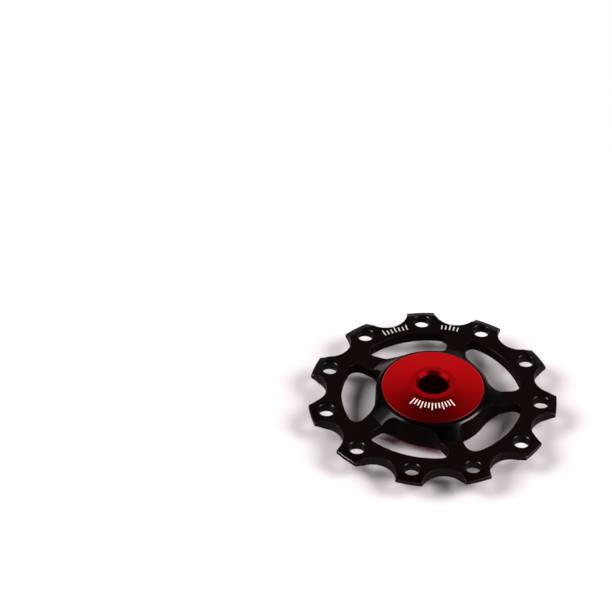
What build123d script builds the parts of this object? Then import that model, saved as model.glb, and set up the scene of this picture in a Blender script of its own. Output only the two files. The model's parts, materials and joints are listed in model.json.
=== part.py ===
from build123d import *
import os
from math import atan2, degrees, pi, sin

# Derailleur jockey wheel. It turns on a sealed ball bearing between two covers that a bolt clamps together.
# Millimetres. +Z runs along the axle, and the origin is on the axle, halfway through the toothed plate.

# Teeth, which carry a roller chain
chain_pitch = 12.7
tooth_count = 11
roller_diameter = 7.77
roller_clearance = 0.045
tip_below_pitch = 0.59
tip_land = 0.7
tip_bevel_width = 1.55
plate_thickness = 2.0

# Lightening hole in each tooth
tooth_hole_diameter = 2.76
tooth_hole_below_tip = 2.8
tooth_hole_chamfer = 0.28

# Windows and the spokes between them. Ahead is the counterclockwise side of a spoke, seen from above
spoke_count = 5
spoke_width = 3.4
spoke_angle = 1.8
spoke_lean_ahead = 7.0
spoke_lean_behind = 18.9
rim_width = 2.6
rim_corner_ahead = 1.8
rim_corner_behind = 1.4
hub_corner_ahead = 1.75
hub_corner_behind = 4.5

# Hub, with a recess at each end for the rim of a cover
hub_recess_depth = 0.5
hub_recess_wall = 0.7
hub_lip_width = 0.12
hub_flank_width = 2.63

# Ball bearing
bearing_bore = 8.0
bearing_diameter = 16.0
bearing_width = 5.0
bearing_proud = 0.4
bearing_fit = 0.01
bearing_edge = 0.2
ball_count = 11
ball_diameter = 2.0
ball_clearance = 0.06
race_depth = 0.4

# Crown cage for the balls
cage_clearance = 0.15
cage_pocket_clearance = 0.08
cage_base = 0.6
cage_prong_height = 0.55
cage_slot_width = 0.5
cage_slot_depth = 0.8

# Seals, held by a bead in a groove of the outer ring
seal_thickness = 0.3
seal_recess = 0.2
seal_lip_gap = 0.1
seal_seat_width = 0.5
seal_bead = 0.2
seal_fit = 0.02

# Covers
bolt_diameter = 5.0
bolt_clearance = 0.05
bore_chamfer = 0.5
cover_land_width = 1.0
cover_height = 1.5
cover_overhang = 1.1
cover_rim_height = 0.55
cover_rim_edge = 0.25
cover_rim_gap = 0.25
cover_floor_gap = 0.25
cover_ring_gap = 0.2
cover_lip_gap = 0.35
cover_shoulder_width = 1.0
spigot_fit = 0.02
spigot_end_gap = 0.5

# Radii that follow from the sizes above
pitch_radius = chain_pitch / (2 * sin(pi / tooth_count))
seat_radius = roller_diameter / 2 + roller_clearance
root_radius = pitch_radius - seat_radius
tip_radius = pitch_radius - tip_below_pitch
tooth_hole_circle = tip_radius - tooth_hole_below_tip
bearing_radius = bearing_diameter / 2
ball_circle = (bearing_bore + bearing_diameter) / 4
ball_radius = ball_diameter / 2
race_radius = ball_radius + ball_clearance
inner_shoulder = ball_circle - ball_radius + race_depth
outer_shoulder = ball_circle + ball_radius - race_depth
seal_seat_radius = outer_shoulder + seal_seat_width
bolt_bore = bolt_diameter / 2 + bolt_clearance
cover_radius = bearing_radius + cover_overhang
cover_land = bolt_bore + bore_chamfer + cover_land_width
recess_radius = cover_radius + cover_rim_gap
flank_top = recess_radius + hub_lip_width
flank_base = flank_top + hub_flank_width
window_inner = recess_radius + hub_recess_wall
window_outer = root_radius - rim_width

# Heights above the middle of the plate
plate_top = plate_thickness / 2
ring_face = bearing_width / 2
recess_floor = ring_face - bearing_proud
hub_top = recess_floor + hub_recess_depth
rim_bottom = recess_floor + cover_floor_gap
rim_top = rim_bottom + cover_rim_height
cover_top = ring_face + cover_height
seal_top = ring_face - seal_recess
seal_bottom = seal_top - seal_thickness

FULL_TURN = 360.0
SAME_PLACE = 0.001


def turned(points):
    """A solid turned about the axle, from a closed outline of (radius, height) points."""
    return revolve(make_face(Plane.XZ * Polyline(*points, close=True)), Axis.Z)


def mirrored_outline(points):
    """An outline that runs up the points and back down their mirror images below the plate."""
    return points + [(radius, -height) for radius, height in reversed(points)]


def around(count, radius, start=0.0):
    """Places evenly spaced on a circle about the axle, each turned to face outwards."""
    return [Rot(0, 0, start + FULL_TURN * i / count) * Pos(radius, 0, 0) for i in range(count)]


def drilled_hole():
    """A drill with a countersink at each face of the plate."""
    radius = tooth_hole_diameter / 2
    sink = tooth_hole_chamfer
    return turned([
        (0, -plate_thickness),
        (radius + sink + plate_top, -plate_thickness),
        (radius, sink - plate_top),
        (radius, plate_top - sink),
        (radius + sink + plate_top, plate_thickness),
        (0, plate_thickness),
    ])


def window_openings():
    """The ring between hub and rim, cut into windows by spokes that lean and narrow towards the rim."""
    middle = (window_outer + window_inner) / 2
    band = Rectangle(window_outer, window_outer)
    inset = (window_outer - spoke_width) / 2
    side_ahead = Rot(0, 0, spoke_lean_ahead) * Pos(0, -inset, 0) * band
    side_behind = Rot(0, 0, spoke_lean_behind) * Pos(0, inset, 0) * band
    spokes = [place * (side_ahead & side_behind)
              for place in around(spoke_count, middle, spoke_angle)]
    sharp = Circle(window_outer) - Circle(window_inner) - spokes
    windows = sharp
    for at_rim, ahead, radius in (
        (True, True, rim_corner_ahead),
        (True, False, rim_corner_behind),
        (False, True, hub_corner_ahead),
        (False, False, hub_corner_behind),
    ):
        spots = [v.center() for v in sharp.vertices()
                 if (v.center().length > middle) == at_rim and is_ahead(v) == ahead]
        corners = [v for v in windows.vertices()
                   if min((v.center() - spot).length for spot in spots) < SAME_PLACE]
        windows = fillet(corners, radius)
    return extrude(windows, amount=hub_top, both=True)


def is_ahead(corner):
    """Whether a corner of a window lies counterclockwise of the spoke that is nearest to it."""
    pitch = FULL_TURN / spoke_count
    turn = degrees(atan2(corner.Y, corner.X)) - spoke_angle
    return turn % pitch < pitch / 2


def toothed_wheel():
    """The wheel as one turned blank, then its roller seats, tooth holes and windows."""
    bore = bearing_radius + bearing_fit
    blank = turned(mirrored_outline([
        (tip_radius, tip_land / 2),
        (tip_radius - tip_bevel_width, plate_top),
        (flank_base, plate_top),
        (flank_top, hub_top),
        (recess_radius, hub_top),
        (recess_radius, recess_floor),
        (bore, recess_floor),
    ]))
    half_tooth = FULL_TURN / tooth_count / 2
    seats = [place * Cylinder(seat_radius, 2 * plate_thickness)
             for place in around(tooth_count, pitch_radius, half_tooth)]
    holes = [place * drilled_hole() for place in around(tooth_count, tooth_hole_circle)]
    return blank - seats - holes - window_openings()


def bearing_outer_ring():
    """The outer ring: a ball race inside, and a stepped seat with a groove for each seal."""
    body = turned(mirrored_outline([
        (bearing_radius, ring_face - bearing_edge),
        (bearing_radius - bearing_edge, ring_face),
        (seal_seat_radius + seal_bead / 2, ring_face),
        (seal_seat_radius, seal_top),
        (seal_seat_radius + seal_bead, (seal_top + seal_bottom) / 2),
        (seal_seat_radius, seal_bottom),
        (outer_shoulder, seal_bottom),
    ]))
    return body - Torus(ball_circle, race_radius)


def bearing_inner_ring():
    """The inner ring, with the other ball race outside."""
    bore = bearing_bore / 2
    body = turned(mirrored_outline([
        (inner_shoulder, ring_face - bearing_edge),
        (inner_shoulder - bearing_edge, ring_face),
        (bore + bearing_edge, ring_face),
        (bore, ring_face - bearing_edge),
    ]))
    return body - Torus(ball_circle, race_radius)


def ball_cage():
    """A crown: a ring below the balls, with a round pocket for each and a slot between neighbours."""
    bottom = -ball_radius - cage_pocket_clearance - cage_base
    crown = turned([
        (inner_shoulder + cage_clearance, bottom),
        (outer_shoulder - cage_clearance, bottom),
        (outer_shoulder - cage_clearance, cage_prong_height),
        (inner_shoulder + cage_clearance, cage_prong_height),
    ])
    pockets = [place * Sphere(ball_radius + cage_pocket_clearance)
               for place in around(ball_count, ball_circle)]
    half_pitch = FULL_TURN / ball_count / 2
    slot = Pos(0, 0, cage_prong_height - cage_slot_depth / 2) * Box(
        ball_diameter, cage_slot_width, cage_slot_depth)
    slots = [place * slot for place in around(ball_count, ball_circle, half_pitch)]
    return crown - pockets - slots


def seal():
    """The upper seal: a thin ring with a bead outside, dished between its edge and its lip."""
    lip = inner_shoulder + seal_lip_gap
    edge = seal_seat_radius - seal_fit
    dish = seal_thickness / 3
    return turned([
        (edge, seal_bottom + seal_fit),
        (edge + seal_bead - seal_fit, (seal_top + seal_bottom) / 2),
        (edge, seal_top),
        (edge - dish, seal_top),
        (edge - 2 * dish, seal_top - dish),
        (lip + 2 * dish, seal_top - dish),
        (lip + dish, seal_top),
        (lip, seal_top),
        (lip, seal_bottom + dish),
        (lip + dish, seal_bottom + seal_fit),
    ])


def cover():
    """The upper cover: flat ring, shallow cone, rounded rim and a spigot that centres the inner ring."""
    spigot = bearing_bore / 2 - spigot_fit
    rim_inside = bearing_radius + cover_lip_gap
    body = turned([
        (bolt_bore, spigot_end_gap / 2),
        (bolt_bore, cover_top - bore_chamfer),
        (bolt_bore + bore_chamfer, cover_top),
        (cover_land, cover_top),
        (cover_radius, rim_top),
        (cover_radius, rim_bottom),
        (rim_inside, rim_bottom),
        (rim_inside, ring_face + cover_ring_gap),
        (bearing_bore / 2 + cover_shoulder_width, ring_face + cover_ring_gap),
        (bearing_bore / 2 + cover_shoulder_width, ring_face),
        (spigot, ring_face),
        (spigot, spigot_end_gap / 2),
    ])
    rim = [e for e in body.edges().filter_by(GeomType.CIRCLE)
           if e.radius > rim_inside + SAME_PLACE and e.arc_center.Z > rim_bottom + SAME_PLACE]
    return fillet(rim, cover_rim_edge)


def pieces():
    """Every piece by name, in its place."""
    upper_seal = seal()
    upper_cap = cover()
    named = {
        "toothed_wheel": toothed_wheel(),
        "bearing_outer_ring": bearing_outer_ring(),
        "bearing_inner_ring": bearing_inner_ring(),
        "ball_cage": ball_cage(),
        "upper_seal": upper_seal,
        "lower_seal": mirror(upper_seal, about=Plane.XY),
        "upper_cap": upper_cap,
        "lower_cap": mirror(upper_cap, about=Plane.XY),
    }
    for i, place in enumerate(around(ball_count, ball_circle), start=1):
        named[f"ball_{i}"] = place * Sphere(ball_radius)
    return named


os.makedirs("parts", exist_ok=True)
for name, shape in pieces().items():
    export_step(shape, f"parts/{name}.step")
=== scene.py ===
import json
import math
from functools import reduce

import bpy
from mathutils import Matrix, Quaternion, Vector


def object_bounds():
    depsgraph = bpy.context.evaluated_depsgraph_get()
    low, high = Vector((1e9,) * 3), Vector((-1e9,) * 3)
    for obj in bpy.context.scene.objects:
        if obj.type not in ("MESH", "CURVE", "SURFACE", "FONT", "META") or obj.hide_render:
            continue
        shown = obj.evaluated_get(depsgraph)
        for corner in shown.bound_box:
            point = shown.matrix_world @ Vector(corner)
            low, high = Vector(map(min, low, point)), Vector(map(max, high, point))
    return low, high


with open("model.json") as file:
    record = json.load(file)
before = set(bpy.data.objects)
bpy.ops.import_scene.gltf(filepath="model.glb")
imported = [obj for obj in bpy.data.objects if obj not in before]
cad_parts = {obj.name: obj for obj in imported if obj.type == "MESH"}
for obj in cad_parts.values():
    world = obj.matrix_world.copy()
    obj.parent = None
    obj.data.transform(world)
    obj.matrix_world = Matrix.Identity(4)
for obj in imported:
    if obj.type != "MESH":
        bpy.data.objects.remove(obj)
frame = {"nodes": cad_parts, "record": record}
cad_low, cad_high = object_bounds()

# A derailleur jockey wheel on a white table: black anodised teeth, red anodised covers and a ball bearing.
# Metres and degrees. The frame's +Z runs along the axle, and its +X goes through the middle of one tooth.
MM = 0.001

# The camera, found by fitting the photograph's tooth holes: a long lens that looks down from the front
IMAGE_SIDE = 612
FOCAL_PIXELS = 8000.0
SENSOR_WIDTH = 36.0
CAMERA_DISTANCE = 1.40844
CAMERA_ELEVATION = 42.888
CAMERA_ROLL = -2.507
CAMERA_AZIMUTH = 1.555
WHEEL_CENTRE_PIXEL = (432.168, 398.980)

# The table
TABLE_SIZE = 6.0
TABLE_COLOUR = (0.87, 0.80, 0.81, 1.0)

# The sky. A pair is where something fades, from one end to the other, along one axis of a direction
SKY_STRENGTH = 0.82
SKY_COLOUR = (1.0, 0.97, 0.98, 1.0)
SKY_FLAT = 3.8
SKY_FALL = 1.79
SKY_DARK_FRONT = (-0.45, -0.05)
SKY_FRONT_LEVEL = 0.2
SKY_DARK_SIDES = (0.62, 0.40)
SKY_SIDE_LEVEL = 0.12
WING_STRENGTH = 0.9
WING_ACROSS = (0.50, 0.66)
WING_DEPTH = (0.36, 0.16)
WING_HEIGHT = (0.78, 0.66)

# Lamps that face the wheel from an azimuth and an elevation. A size is a width and a height, a power is in
# watts, and a slant turns a lamp on its own axis
LAMP_DISTANCE = 1.5
KEY_SIZE = (0.85, 0.85)
KEY_POWER = 21.5
KEY_ELEVATION = 43.0
KEY_AZIMUTHS = {"right_key": -13.0, "left_key": 191.0}
PANELS = {
    "right_strip": {"azimuth": 8.5, "elevation": 51.0, "size": (0.66, 0.30), "power": 7.6, "slant": -42.0},
    "left_strip": {"azimuth": 181.0, "elevation": 54.0, "size": (0.46, 0.24), "power": 1.9, "slant": 42.0},
    "right_panel": {"azimuth": -12.0, "elevation": 32.0, "size": (0.45, 0.30), "power": 1.5},
    "left_panel": {"azimuth": 192.0, "elevation": 32.0, "size": (0.40, 0.30), "power": 4.5},
}

# Edges that a deburring tool has broken. The turn is a pair of cosines between which an edge's mask grows
WELD_GAP = 0.001 * MM
WHEEL_EDGE = 0.08 * MM
BEARING_EDGE = 0.04 * MM
EDGE_SEGMENTS = 2
SHARP_ANGLE = 10.5
EDGE_TURN = (0.99, 0.85)

# Leans: how far a normal points along the axle, from 0 on a wall to 1 on a flat face. The flank and the
# countersinks each have a pair where their mask rises and one where it falls
FLAT_LEAN = 0.9999
WALL_LEAN = (0.25, 0.6)
FLANK_LEAN = ((0.78, 0.82), (0.88, 0.91))
SINK_LEAN = ((0.52, 0.62), (0.78, 0.84))

# The hub's flank: the radii that its mask lies between, its width and height, and from these the shares of
# its normal outwards and along the axle
FLANK_RADII = (9.60 * MM, 12.15 * MM)
FLANK_WIDTH = 2.63 * MM
FLANK_HEIGHT = 1.6 * MM
FLANK_OUTWARDS = FLANK_HEIGHT / math.hypot(FLANK_WIDTH, FLANK_HEIGHT)
FLANK_ALONG = FLANK_WIDTH / math.hypot(FLANK_WIDTH, FLANK_HEIGHT)

# Laser marks: arcs of plain ticks on the rim, by angle and count, and one on the upper cover
TICK_WIDTH = 0.22 * MM
LONG_TICK = 0.35 * MM
LONG_TICK_EVERY = 3.0
RIM_ARCS = ((114.5, 7), (82.5, 5))
RIM_TICKS = {"spacing": 2.3, "start": 17.1 * MM, "end": 18.1 * MM}
COVER_TICKS = {"angle": -88.7, "count": 13, "spacing": 6.3, "start": 5.0 * MM, "end": 6.1 * MM}

# What a chain rubs: the walls outside a radius, which are glossier, and the edges of the tooth tips, which
# are bare metal
CHAIN_SIDE = 17.5 * MM
TOOTH_TIPS = (21.2 * MM, 21.5 * MM)
WALL_GLOSS = 0.10
EDGE_GLOSS = 0.12

# The black finish: its colours, how much an edge wears, what changes its roughness and its grain's relief
BLACK_DYE = ((0.0020, 0.0005, 0.0001, 1.0), (0.0036, 0.0009, 0.0002, 1.0))
WORN_BLACK = (0.016, 0.014, 0.013, 1.0)
FLANK_METAL = (0.024, 0.0215, 0.0212, 1.0)
SINK_METAL = (0.040, 0.0375, 0.037, 1.0)
TIP_METAL = (0.20, 0.19, 0.187, 1.0)
RIM_MARK = (0.55, 0.53, 0.52, 1.0)
EDGE_WEAR = 0.35
MARKS_ROUGHEN = 0.06
WALLS_ROUGHEN = 0.22
METAL_SMOOTHS = 0.16
BLACK_GRAIN_RELIEF = 0.5

# The red finish. The bore's wall is darkened as painted shade, the dye is thin at edges and on the rounding
# of the rim, and the rim's foot is darkened as painted shade from the hub's recess
BORE_WALL = (2.57 * MM, 2.62 * MM)
COVER_RIM = (8.90 * MM, 8.94 * MM)
COVER_FOOT = (9.02 * MM, 9.05 * MM)
RED_DYE = ((0.56, 0.0030, 0.0046, 1.0), (0.64, 0.0047, 0.0068, 1.0))
THIN_RED = (0.70, 0.14, 0.17, 1.0)
# Painted shade: a darker red for the bore's wall
BORE_SHADE_RED = (0.5, 0.0022, 0.005, 1.0)
# Painted shade: a near-black red for the rim's foot, where the hub's recess shades it
FOOT_SHADE_RED = (0.10, 0.0006, 0.001, 1.0)
COVER_MARK = (0.86, 0.72, 0.68, 1.0)
EDGE_PALENESS = 0.7
RIM_PALENESS = 0.65
TICKS_ROUGHEN = 0.3
RED_GRAIN_RELIEF = 0.3

# The bearing's finishes: a darker and a lighter tone of each
STEEL = ((0.48, 0.47, 0.46, 1.0), (0.66, 0.66, 0.67, 1.0))
CERAMIC = ((0.030, 0.031, 0.034, 1.0), (0.075, 0.076, 0.080, 1.0))
POLYMER = ((0.50, 0.42, 0.29, 1.0), (0.66, 0.58, 0.44, 1.0))
RUBBER = ((0.010, 0.010, 0.010, 1.0), (0.022, 0.021, 0.021, 1.0))

# How fine milling marks are along the axle, as a share of across it, and where most of a noise lies
MILLING_STRETCH = 0.04
NOISE_RANGE = (0.3, 0.7)

# Kinds of socket, and the sockets of a Mix node for each kind of data: first value, second value and result
VALUE = "NodeSocketFloat"
VECTOR = "NodeSocketVector"
MIX_SOCKETS = {"RGBA": (6, 7, 2), "VECTOR": (4, 5, 1)}


def fill(tree, socket, value):
    """Link a socket to an output, or set its value."""
    if isinstance(value, bpy.types.NodeSocket):
        tree.links.new(value, socket)
    else:
        socket.default_value = value


def fill_named(tree, node, inputs):
    """Fill a node's sockets by their names, which have underscores for spaces."""
    for name, value in inputs.items():
        fill(tree, node.inputs[name.replace("_", " ")], value)


def make_node(tree, kind, **inputs):
    """A shader node. Each named input is a value, or another node's output to link."""
    node = tree.nodes.new(kind)
    fill_named(tree, node, inputs)
    return node


def calculate(tree, operation, *values):
    """A Math node's result."""
    node = tree.nodes.new("ShaderNodeMath")
    node.operation = operation
    for socket, value in zip(node.inputs, values):
        fill(tree, socket, value)
    return node.outputs[0]


def product(tree, *values):
    """Values multiplied together."""
    return reduce(lambda first, second: calculate(tree, "MULTIPLY", first, second), values)


def total(tree, *values):
    """Values added together."""
    return reduce(lambda first, second: calculate(tree, "ADD", first, second), values)


def measure(tree, operation, *vectors):
    """A Vector Math node's single value, such as a length."""
    node = tree.nodes.new("ShaderNodeVectorMath")
    node.operation = operation
    for socket, vector in zip(node.inputs, vectors):
        fill(tree, socket, vector)
    return node.outputs["Value"]


def split(tree, vector):
    """A vector's three values."""
    return make_node(tree, "ShaderNodeSeparateXYZ", Vector=vector).outputs


def combine(tree, x, y, z):
    """A vector from three values."""
    return make_node(tree, "ShaderNodeCombineXYZ", X=x, Y=y, Z=z).outputs["Vector"]


def distance_from_axle(tree, x, y):
    """The radius of a point."""
    return measure(tree, "LENGTH", combine(tree, x, y, 0.0))


def lean_of(tree, normal):
    """How far a normal points along the axle, up or down."""
    return calculate(tree, "ABSOLUTE", split(tree, normal)["Z"])


def remap(tree, value, from_low, from_high, to_low, to_high):
    """A value carried from one range to another, clamped, with eased ends."""
    node = make_node(tree, "ShaderNodeMapRange", Value=value, From_Min=from_low, From_Max=from_high,
                     To_Min=to_low, To_Max=to_high)
    node.interpolation_type = "SMOOTHSTEP"
    return node.outputs["Result"]


def between(tree, value, rise, fall):
    """A mask that rises from 0 to 1 over one range of a value and falls back to 0 over a higher one."""
    return product(tree, remap(tree, value, *rise, 0.0, 1.0), remap(tree, value, *fall, 1.0, 0.0))


def blend(tree, data_type, factor, first, second):
    """A mix of two colours or two vectors, by a factor that changes over the surface."""
    node = tree.nodes.new("ShaderNodeMix")
    node.data_type = data_type
    first_socket, second_socket, result = MIX_SOCKETS[data_type]
    fill(tree, node.inputs["Factor"], factor)
    fill(tree, node.inputs[first_socket], first)
    fill(tree, node.inputs[second_socket], second)
    return node.outputs[result]


def blend_colours(tree, factor, first, second):
    """A colour between two."""
    return blend(tree, "RGBA", factor, first, second)


def blend_vectors(tree, factor, first, second):
    """A vector between two."""
    return blend(tree, "VECTOR", factor, first, second)


def noise(tree, vector, scale, detail):
    """Smooth noise from 0 to 1 along a vector."""
    return make_node(tree, "ShaderNodeTexNoise", Vector=vector, Scale=scale, Detail=detail).outputs["Fac"]


def from_noise(tree, value, low, high, spread=NOISE_RANGE):
    """Noise carried to a range of roughness."""
    return remap(tree, value, *spread, low, high)


def start_group(name, inputs, outputs):
    """An empty node group with named sockets. Returns the group, its inputs and its output node."""
    group = bpy.data.node_groups.new(name, "ShaderNodeTree")
    for socket, kind in inputs:
        group.interface.new_socket(socket, in_out="INPUT", socket_type=kind)
    for socket, kind in outputs:
        group.interface.new_socket(socket, in_out="OUTPUT", socket_type=kind)
    given = group.nodes.new("NodeGroupInput").outputs
    return group, given, group.nodes.new("NodeGroupOutput")


def use_group(tree, group, **inputs):
    """A node group placed in a material. Returns its outputs."""
    node = tree.nodes.new("ShaderNodeGroup")
    node.node_tree = group
    fill_named(tree, node, inputs)
    return node.outputs


def turning_marks():
    """Rings left by a lathe: noise along the radius and the height, the same all the way round the axle.
    It also gives the radius."""
    group, given, out = start_group(
        "turning_marks", [("Vector", VECTOR), ("Pitch", VALUE)], [("Height", VALUE), ("Radius", VALUE)])
    x, y, z = split(group, given["Vector"])
    radius = distance_from_axle(group, x, y)
    rings, levels = (calculate(group, "DIVIDE", value, given["Pitch"]) for value in (radius, z))
    grooves = combine(group, rings, levels, 0.0)
    fill(group, out.inputs["Height"], noise(group, grooves, scale=1.0, detail=3.0))
    fill(group, out.inputs["Radius"], radius)
    return group


def milling_marks():
    """Lines left by the side of a milling cutter: noise across the wall, drawn out along the axle."""
    group, given, out = start_group(
        "milling_marks", [("Vector", VECTOR), ("Pitch", VALUE)], [("Height", VALUE)])
    x, y, z = (calculate(group, "DIVIDE", value, given["Pitch"]) for value in split(group, given["Vector"]))
    lines = combine(group, x, y, product(group, z, MILLING_STRETCH))
    fill(group, out.inputs["Height"], noise(group, lines, scale=1.0, detail=2.0))
    return group


def surface_grain():
    """The etched grain under an anodised or moulded skin, and slow uneven patches over it."""
    group, given, out = start_group(
        "surface_grain", [("Vector", VECTOR), ("Grain Size", VALUE), ("Patch Size", VALUE)],
        [("Grain", VALUE), ("Patches", VALUE)])
    fine, slow = (calculate(group, "DIVIDE", 1.0, given[size]) for size in ("Grain Size", "Patch Size"))
    fill(group, out.inputs["Grain"], noise(group, given["Vector"], scale=fine, detail=2.0))
    fill(group, out.inputs["Patches"], noise(group, given["Vector"], scale=slow, detail=3.0))
    return group


def broken_edges():
    """A mask along edges: how far the normal of a rounded edge turns away from the face's own."""
    group, given, out = start_group("broken_edges", [("Radius", VALUE)], [("Mask", VALUE)])
    rounded = make_node(group, "ShaderNodeBevel", Radius=given["Radius"])
    face = group.nodes.new("ShaderNodeNewGeometry")
    turn = measure(group, "DOT_PRODUCT", rounded.outputs["Normal"], face.outputs["Normal"])
    fill(group, out.inputs["Mask"], remap(group, turn, *EDGE_TURN, 0.0, 1.0))
    return group


def hub_flank():
    """The hub's cone: a mask between two radii where the surface leans as the cone does, and there the
    cone's own normal, which points away from the axle and along it in fixed shares. A flat face keeps its
    own normal, and all else has the smoothed one."""
    group, given, out = start_group(
        "hub_flank", [("Vector", VECTOR), ("Normal", VECTOR), ("Radius", VALUE)],
        [("Mask", VALUE), ("Normal", VECTOR)])
    inner, outer = FLANK_RADII
    mask = product(
        group,
        between(group, lean_of(group, given["Normal"]), *FLANK_LEAN),
        calculate(group, "GREATER_THAN", given["Radius"], inner),
        calculate(group, "LESS_THAN", given["Radius"], outer))
    x, y, z = split(group, given["Vector"])
    outwards = calculate(group, "DIVIDE", FLANK_OUTWARDS, given["Radius"])
    along = product(group, calculate(group, "SIGN", z), FLANK_ALONG)
    cone = combine(group, product(group, x, outwards), product(group, y, outwards), along)
    exact = make_node(group, "ShaderNodeVectorTransform", Vector=cone)
    exact.vector_type = "NORMAL"
    exact.convert_from = "OBJECT"
    exact.convert_to = "WORLD"
    face = group.nodes.new("ShaderNodeNewGeometry").outputs
    flat = calculate(group, "GREATER_THAN", lean_of(group, face["True Normal"]), FLAT_LEAN)
    smooth = blend_vectors(group, flat, face["Normal"], face["True Normal"])
    fill(group, out.inputs["Mask"], mask)
    fill(group, out.inputs["Normal"], blend_vectors(group, mask, smooth, exact.outputs["Vector"]))
    return group


def laser_ticks():
    """An arc of radial ticks on the upper side. The angle from the arc's middle, divided by the spacing, has
    a nearest whole number for each tick, and a point is on that tick if it lies within half a width of it.
    Some ticks are longer."""
    group, given, out = start_group(
        "laser_ticks",
        [("Vector", VECTOR)] + [(name, VALUE) for name in ("Angle", "Count", "Spacing", "From", "To")],
        [("Mask", VALUE)])
    turn = make_node(group, "ShaderNodeVectorRotate", Vector=given["Vector"],
                     Angle=product(group, given["Angle"], -1.0))
    turn.rotation_type = "Z_AXIS"
    x, y, z = split(group, turn.outputs["Vector"])
    radius = distance_from_axle(group, x, y)
    steps = calculate(group, "DIVIDE", calculate(group, "ARCTAN2", y, x), given["Spacing"])
    number = calculate(group, "ROUND", steps)
    rank = calculate(group, "ABSOLUTE", number)
    offset = calculate(group, "ABSOLUTE", calculate(group, "SUBTRACT", steps, number))
    longer = calculate(group, "LESS_THAN", calculate(group, "MODULO", rank, LONG_TICK_EVERY), 0.5)
    end = total(group, given["To"], product(group, longer, LONG_TICK))
    fill(group, out.inputs["Mask"], product(
        group,
        calculate(group, "LESS_THAN", product(group, offset, given["Spacing"], radius), TICK_WIDTH / 2),
        calculate(group, "LESS_THAN", rank, product(group, given["Count"], 0.5)),
        calculate(group, "GREATER_THAN", radius, given["From"]),
        calculate(group, "LESS_THAN", radius, end),
        calculate(group, "GREATER_THAN", z, 0.0)))
    return group


def start_material(name, **sockets):
    """A material with one Principled BSDF. Returns it, its tree, the shader and the coordinates."""
    material = bpy.data.materials.new(name)
    material.use_nodes = True
    tree = material.node_tree
    tree.nodes.clear()
    shader = make_node(tree, "ShaderNodeBsdfPrincipled", **sockets)
    output = tree.nodes.new("ShaderNodeOutputMaterial")
    tree.links.new(shader.outputs["BSDF"], output.inputs["Surface"])
    return material, tree, shader, tree.nodes.new("ShaderNodeTexCoord").outputs


def add_bump(tree, shader, height, depth, **normal):
    """Fine relief of a given depth on the surface's normal, or on a given one."""
    bump = make_node(tree, "ShaderNodeBump", Height=height, Distance=depth, **normal)
    tree.links.new(bump.outputs["Normal"], shader.inputs["Normal"])


def tick_mask(tree, groups, place, angle, count, spacing, start, end):
    """Where one arc of ticks lies, from its radii and from angles in degrees."""
    ticks = use_group(tree, groups["laser_ticks"], Vector=place, Angle=math.radians(angle),
                      Count=float(count), Spacing=math.radians(spacing), From=start, To=end)
    return ticks["Mask"]


def black_anodised(groups):
    """Satin black anodised aluminium, turned on its faces, milled on its walls and marked on its rim."""
    material, tree, shader, coords = start_material(
        "black_anodised_aluminium", Specular_IOR_Level=0.03, Specular_Tint=(1.0, 0.9, 0.88, 1.0),
        Coat_Roughness=0.17)
    place, normal = coords["Object"], coords["Normal"]
    grain = use_group(tree, groups["surface_grain"], Vector=place, Grain_Size=0.09 * MM, Patch_Size=6 * MM)
    lathe = use_group(tree, groups["turning_marks"], Vector=place, Pitch=0.22 * MM)
    milled = use_group(tree, groups["milling_marks"], Vector=place, Pitch=0.2 * MM)["Height"]
    edges = use_group(tree, groups["broken_edges"], Radius=0.1 * MM)["Mask"]
    radius = lathe["Radius"]
    flank = use_group(tree, groups["hub_flank"], Vector=place, Normal=normal, Radius=radius)

    # Where the faces, the walls, the countersinks and bevels, and the ticks are
    lean = lean_of(tree, normal)
    facing = remap(tree, lean, *WALL_LEAN, 0.0, 1.0)
    outside_hub = calculate(tree, "GREATER_THAN", radius, FLANK_RADII[1])
    sinks = product(tree, between(tree, lean, *SINK_LEAN), outside_hub)
    metal = calculate(tree, "MAXIMUM", flank["Mask"], sinks)
    arcs = [tick_mask(tree, groups, place, angle, count, **RIM_TICKS) for angle, count in RIM_ARCS]
    ticks = calculate(tree, "MAXIMUM", *arcs)

    # Colour
    dye = blend_colours(tree, grain["Patches"], *BLACK_DYE)
    worn = blend_colours(tree, product(tree, edges, EDGE_WEAR), dye, WORN_BLACK)
    hub = blend_colours(tree, flank["Mask"], worn, FLANK_METAL)
    bare = blend_colours(tree, remap(tree, radius, *TOOTH_TIPS, 0.0, 1.0), SINK_METAL, TIP_METAL)
    sunk = blend_colours(tree, sinks, hub, bare)
    fill(tree, shader.inputs["Base Color"], blend_colours(tree, ticks, sunk, RIM_MARK))
    fill(tree, shader.inputs["Metallic"], metal)

    # Gloss and relief
    marks = total(tree, product(tree, lathe["Height"], facing),
                  product(tree, milled, calculate(tree, "SUBTRACT", 1.0, facing)))
    fill(tree, shader.inputs["Roughness"], total(
        tree,
        from_noise(tree, grain["Grain"], low=0.24, high=0.30),
        product(tree, marks, MARKS_ROUGHEN),
        remap(tree, facing, 1.0, 0.0, 0.0, WALLS_ROUGHEN),
        product(tree, metal, -METAL_SMOOTHS)))
    walls = product(tree, remap(tree, facing, 0.0, 1.0, WALL_GLOSS, 0.0),
                    calculate(tree, "GREATER_THAN", radius, CHAIN_SIDE))
    rubbed = product(tree, edges, EDGE_GLOSS)
    fill(tree, shader.inputs["Coat Weight"], calculate(tree, "MAXIMUM", rubbed, walls))
    relief = total(tree, marks, product(tree, grain["Grain"], BLACK_GRAIN_RELIEF))
    add_bump(tree, shader, relief, depth=0.0015 * MM, Normal=flank["Normal"])
    return material


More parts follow.
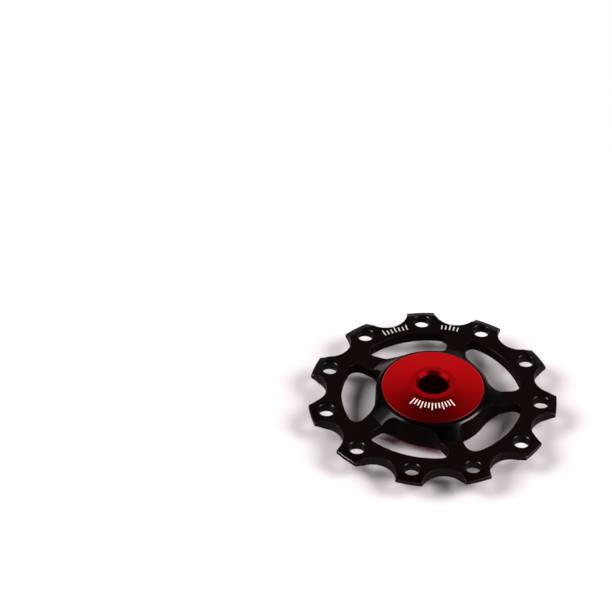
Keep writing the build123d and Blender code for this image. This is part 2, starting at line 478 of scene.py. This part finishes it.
def red_anodised(groups):
    """Bright red anodised aluminium, turned, with an arc of ticks on the upper cover, and painted shade on
    the bore's wall and at the rim's foot.
    """
    material, tree, shader, coords = start_material(
        "red_anodised_aluminium", Specular_Tint=(0.9, 0.55, 0.55, 1.0))
    place = coords["Object"]
    grain = use_group(tree, groups["surface_grain"], Vector=place, Grain_Size=0.07 * MM, Patch_Size=4 * MM)
    lathe = use_group(tree, groups["turning_marks"], Vector=place, Pitch=0.16 * MM)
    edges = use_group(tree, groups["broken_edges"], Radius=0.08 * MM)["Mask"]
    ticks = tick_mask(tree, groups, place, **COVER_TICKS)
    turned, radius = lathe["Height"], lathe["Radius"]
    bore = remap(tree, radius, *BORE_WALL, 1.0, 0.0)
    rim = remap(tree, radius, *COVER_RIM, 0.0, 1.0)
    foot = remap(tree, radius, *COVER_FOOT, 0.0, 1.0)
    pale = calculate(tree, "MAXIMUM", product(tree, edges, EDGE_PALENESS), product(tree, rim, RIM_PALENESS))
    dye = blend_colours(tree, grain["Patches"], *RED_DYE)
    thin = blend_colours(tree, pale, dye, THIN_RED)
    # Painted shade: the bore's wall is darkened in the colour
    bore_shaded = blend_colours(tree, bore, thin, BORE_SHADE_RED)
    # Painted shade: the rim's foot is darkened in the colour, where the hub's recess shades it
    foot_shaded = blend_colours(tree, foot, bore_shaded, FOOT_SHADE_RED)
    fill(tree, shader.inputs["Base Color"], blend_colours(tree, ticks, foot_shaded, COVER_MARK))
    fill(tree, shader.inputs["Metallic"], calculate(tree, "SUBTRACT", 1.0, ticks))
    rough = from_noise(tree, turned, low=0.22, high=0.27)
    fill(tree, shader.inputs["Roughness"], total(tree, rough, product(tree, ticks, TICKS_ROUGHEN)))
    relief = total(tree, turned, product(tree, grain["Grain"], RED_GRAIN_RELIEF))
    add_bump(tree, shader, relief, depth=0.0006 * MM)
    return material


def bearing_steel(groups):
    """Ground bearing steel: bright, with fine rings and a few darker patches of oil."""
    material, tree, shader, coords = start_material("ground_bearing_steel", Metallic=1.0)
    place = coords["Object"]
    grain = use_group(tree, groups["surface_grain"], Vector=place, Grain_Size=0.05 * MM, Patch_Size=2 * MM)
    turned = use_group(tree, groups["turning_marks"], Vector=place, Pitch=0.06 * MM)["Height"]
    fill(tree, shader.inputs["Base Color"], blend_colours(tree, grain["Patches"], *STEEL))
    rough = from_noise(tree, turned, low=0.16, high=0.34, spread=(0.25, 0.75))
    fill(tree, shader.inputs["Roughness"], rough)
    add_bump(tree, shader, turned, depth=0.001 * MM)
    return material


def ball_ceramic(groups):
    """Polished dark grey ceramic, a little mottled."""
    material, tree, shader, coords = start_material("ball_ceramic", Specular_IOR_Level=0.8)
    place = coords["Object"]
    grain = use_group(tree, groups["surface_grain"], Vector=place, Grain_Size=0.06 * MM, Patch_Size=0.8 * MM)
    fill(tree, shader.inputs["Base Color"], blend_colours(tree, grain["Patches"], *CERAMIC))
    fill(tree, shader.inputs["Roughness"], from_noise(tree, grain["Grain"], low=0.06, high=0.14))
    return material


def cage_polymer(groups):
    """Moulded natural polymer, slightly cloudy."""
    material, tree, shader, coords = start_material("cage_polymer", Specular_IOR_Level=0.45)
    place = coords["Object"]
    grain = use_group(tree, groups["surface_grain"], Vector=place, Grain_Size=0.08 * MM, Patch_Size=1.5 * MM)
    fill(tree, shader.inputs["Base Color"], blend_colours(tree, grain["Patches"], *POLYMER))
    fill(tree, shader.inputs["Roughness"], from_noise(tree, grain["Grain"], low=0.38, high=0.55))
    add_bump(tree, shader, grain["Grain"], depth=0.003 * MM)
    return material


def seal_rubber(groups):
    """Moulded black rubber with a faint ring pattern from its mould."""
    material, tree, shader, coords = start_material("seal_rubber", Specular_IOR_Level=0.35)
    place = coords["Object"]
    grain = use_group(tree, groups["surface_grain"], Vector=place, Grain_Size=0.06 * MM, Patch_Size=1.2 * MM)
    turned = use_group(tree, groups["turning_marks"], Vector=place, Pitch=0.12 * MM)["Height"]
    fill(tree, shader.inputs["Base Color"], blend_colours(tree, grain["Patches"], *RUBBER))
    fill(tree, shader.inputs["Roughness"], from_noise(tree, turned, low=0.55, high=0.75))
    add_bump(tree, shader, total(tree, turned, grain["Grain"]), depth=0.003 * MM)
    return material


def dress(node, material, edge):
    """Give a CAD node its finish, and break its sharp edges by a width, unless the solid has broken ones."""
    node.data.materials.clear()
    node.data.materials.append(material)
    if edge is None:
        return
    weld = node.modifiers.new("join_faces", "WELD")
    weld.merge_threshold = WELD_GAP
    bevel = node.modifiers.new("broken_edge", "BEVEL")
    bevel.width = edge
    bevel.segments = EDGE_SEGMENTS
    bevel.limit_method = "ANGLE"
    bevel.angle_limit = math.radians(SHARP_ANGLE)
    smooth = node.modifiers.new("face_normals", "WEIGHTED_NORMAL")
    smooth.keep_sharp = False


def dress_pieces():
    """A finish for every CAD node, chosen by its material slot in the record."""
    groups = {make.__name__: make() for make in
              (turning_marks, milling_marks, surface_grain, broken_edges, hub_flank, laser_ticks)}
    finishes = {
        "black_anodised": (black_anodised(groups), WHEEL_EDGE),
        "red_anodised": (red_anodised(groups), None),
        "bearing_steel": (bearing_steel(groups), BEARING_EDGE),
        "ceramic": (ball_ceramic(groups), BEARING_EDGE),
        "cage_polymer": (cage_polymer(groups), BEARING_EDGE),
        "seal_rubber": (seal_rubber(groups), BEARING_EDGE),
    }
    for part in frame["record"]["subparts"]:
        dress(frame["nodes"][part["node"]], *finishes[part["material_slot"]])


def make_table():
    """A wide pale table under the lower cover. Seen from below it is clear."""
    bpy.ops.mesh.primitive_plane_add(size=TABLE_SIZE, location=(0, 0, cad_low.z))
    table = bpy.context.object
    table.name = "table"
    material = bpy.data.materials.new("white_table")
    material.use_nodes = True
    tree = material.node_tree
    tree.nodes.clear()
    paper = make_node(tree, "ShaderNodeBsdfDiffuse", Color=TABLE_COLOUR)
    clear = tree.nodes.new("ShaderNodeBsdfTransparent")
    side = tree.nodes.new("ShaderNodeNewGeometry")
    mix = tree.nodes.new("ShaderNodeMixShader")
    tree.links.new(side.outputs["Backfacing"], mix.inputs[0])
    tree.links.new(paper.outputs["BSDF"], mix.inputs[1])
    tree.links.new(clear.outputs["BSDF"], mix.inputs[2])
    tree.links.new(mix.outputs["Shader"], tree.nodes.new("ShaderNodeOutputMaterial").inputs["Surface"])
    table.data.materials.append(material)


def make_sky():
    """A studio whose back is bright near the table, and which is dark overhead and behind the camera. The
    strength of its back hardly changes near the table, falls ever faster higher up, and fades towards the
    sides. Dim white wings beside the camera show in the metal only."""
    world = bpy.data.worlds.new("studio")
    bpy.context.scene.world = world
    world.use_nodes = True
    tree = world.node_tree
    tree.nodes.clear()
    x, depth, height = split(tree, tree.nodes.new("ShaderNodeTexCoord").outputs["Generated"])
    across = calculate(tree, "ABSOLUTE", x)
    rise = calculate(tree, "POWER", calculate(tree, "ABSOLUTE", height), SKY_FLAT)
    fall = calculate(tree, "POWER", calculate(tree, "SUBTRACT", 1.0, rise), SKY_FALL)
    front = remap(tree, depth, *SKY_DARK_FRONT, SKY_FRONT_LEVEL * SKY_STRENGTH, SKY_STRENGTH)
    sides = remap(tree, across, *SKY_DARK_SIDES, SKY_SIDE_LEVEL, 1.0)
    back = product(tree, fall, front, sides)
    wings = product(
        tree,
        remap(tree, across, *WING_ACROSS, 0.0, WING_STRENGTH),
        remap(tree, depth, *WING_DEPTH, 0.0, 1.0),
        remap(tree, height, *WING_HEIGHT, 0.0, 1.0),
        tree.nodes.new("ShaderNodeLightPath").outputs["Is Glossy Ray"])
    strength = calculate(tree, "MAXIMUM", back, wings)
    light = make_node(tree, "ShaderNodeBackground", Color=SKY_COLOUR, Strength=strength)
    tree.links.new(light.outputs["Background"], tree.nodes.new("ShaderNodeOutputWorld").inputs["Surface"])


def direction_of(azimuth, elevation):
    """The unit vector towards an azimuth from +X and an elevation, in degrees."""
    turn, rise = math.radians(azimuth), math.radians(elevation)
    return Vector((math.cos(turn) * math.cos(rise), math.sin(turn) * math.cos(rise), math.sin(rise)))


def hang_lamp(name, azimuth, elevation, size, power, slant=0.0):
    """A flat lamp of a given width and height that faces the wheel and is turned on its own axis."""
    data = bpy.data.lights.new(name, "AREA")
    data.shape = "RECTANGLE"
    data.size, data.size_y = size
    data.energy = power
    lamp = bpy.data.objects.new(name, data)
    bpy.context.scene.collection.objects.link(lamp)
    towards = direction_of(azimuth, elevation)
    lamp.location = towards * LAMP_DISTANCE
    lamp.rotation_mode = "QUATERNION"
    lamp.rotation_quaternion = towards.to_track_quat("Z", "Y") @ Quaternion((0, 0, 1), math.radians(slant))
    return lamp


def make_lamps():
    """Two softboxes at the sides, which nothing mirrors, and strips and panels that only the black wheel
    mirrors."""
    for name, azimuth in KEY_AZIMUTHS.items():
        hang_lamp(name, azimuth, KEY_ELEVATION, KEY_SIZE, KEY_POWER).visible_glossy = False
    wheel_only = bpy.data.collections.new("wheel_only")
    wheel_only.objects.link(frame["nodes"]["toothed_wheel"])
    for name, panel in PANELS.items():
        lamp = hang_lamp(name, **panel)
        lamp.visible_diffuse = False
        lamp.light_linking.receiver_collection = wheel_only


def make_camera():
    """The photograph's camera. The wheel's centre lies off the picture's middle by its pixel's offset."""
    rise, roll = math.radians(CAMERA_ELEVATION), math.radians(CAMERA_ROLL)
    ahead = Vector((0, math.cos(rise), -math.sin(rise)))
    level_right = Vector((1, 0, 0))
    level_down = Vector((0, -math.sin(rise), -math.cos(rise)))
    right = math.cos(roll) * level_right + math.sin(roll) * level_down
    down = -math.sin(roll) * level_right + math.cos(roll) * level_down
    pixel_size = CAMERA_DISTANCE / FOCAL_PIXELS
    across, below = ((pixel - IMAGE_SIDE / 2) * pixel_size for pixel in WHEEL_CENTRE_PIXEL)
    place = -(across * right + below * down + CAMERA_DISTANCE * ahead)
    axes = Matrix((right, -down, -ahead)).transposed()
    data = bpy.data.cameras.new("camera")
    data.sensor_width = SENSOR_WIDTH
    data.lens = SENSOR_WIDTH * FOCAL_PIXELS / IMAGE_SIDE
    camera = bpy.data.objects.new("camera", data)
    bpy.context.scene.collection.objects.link(camera)
    around = Matrix.Rotation(math.radians(CAMERA_AZIMUTH), 4, "Z")
    camera.matrix_world = around @ Matrix.Translation(place) @ axes.to_4x4()
    bpy.context.scene.camera = camera


dress_pieces()
make_table()
make_sky()
make_lamps()
make_camera()
bpy.context.scene.view_settings.view_transform = "Standard"
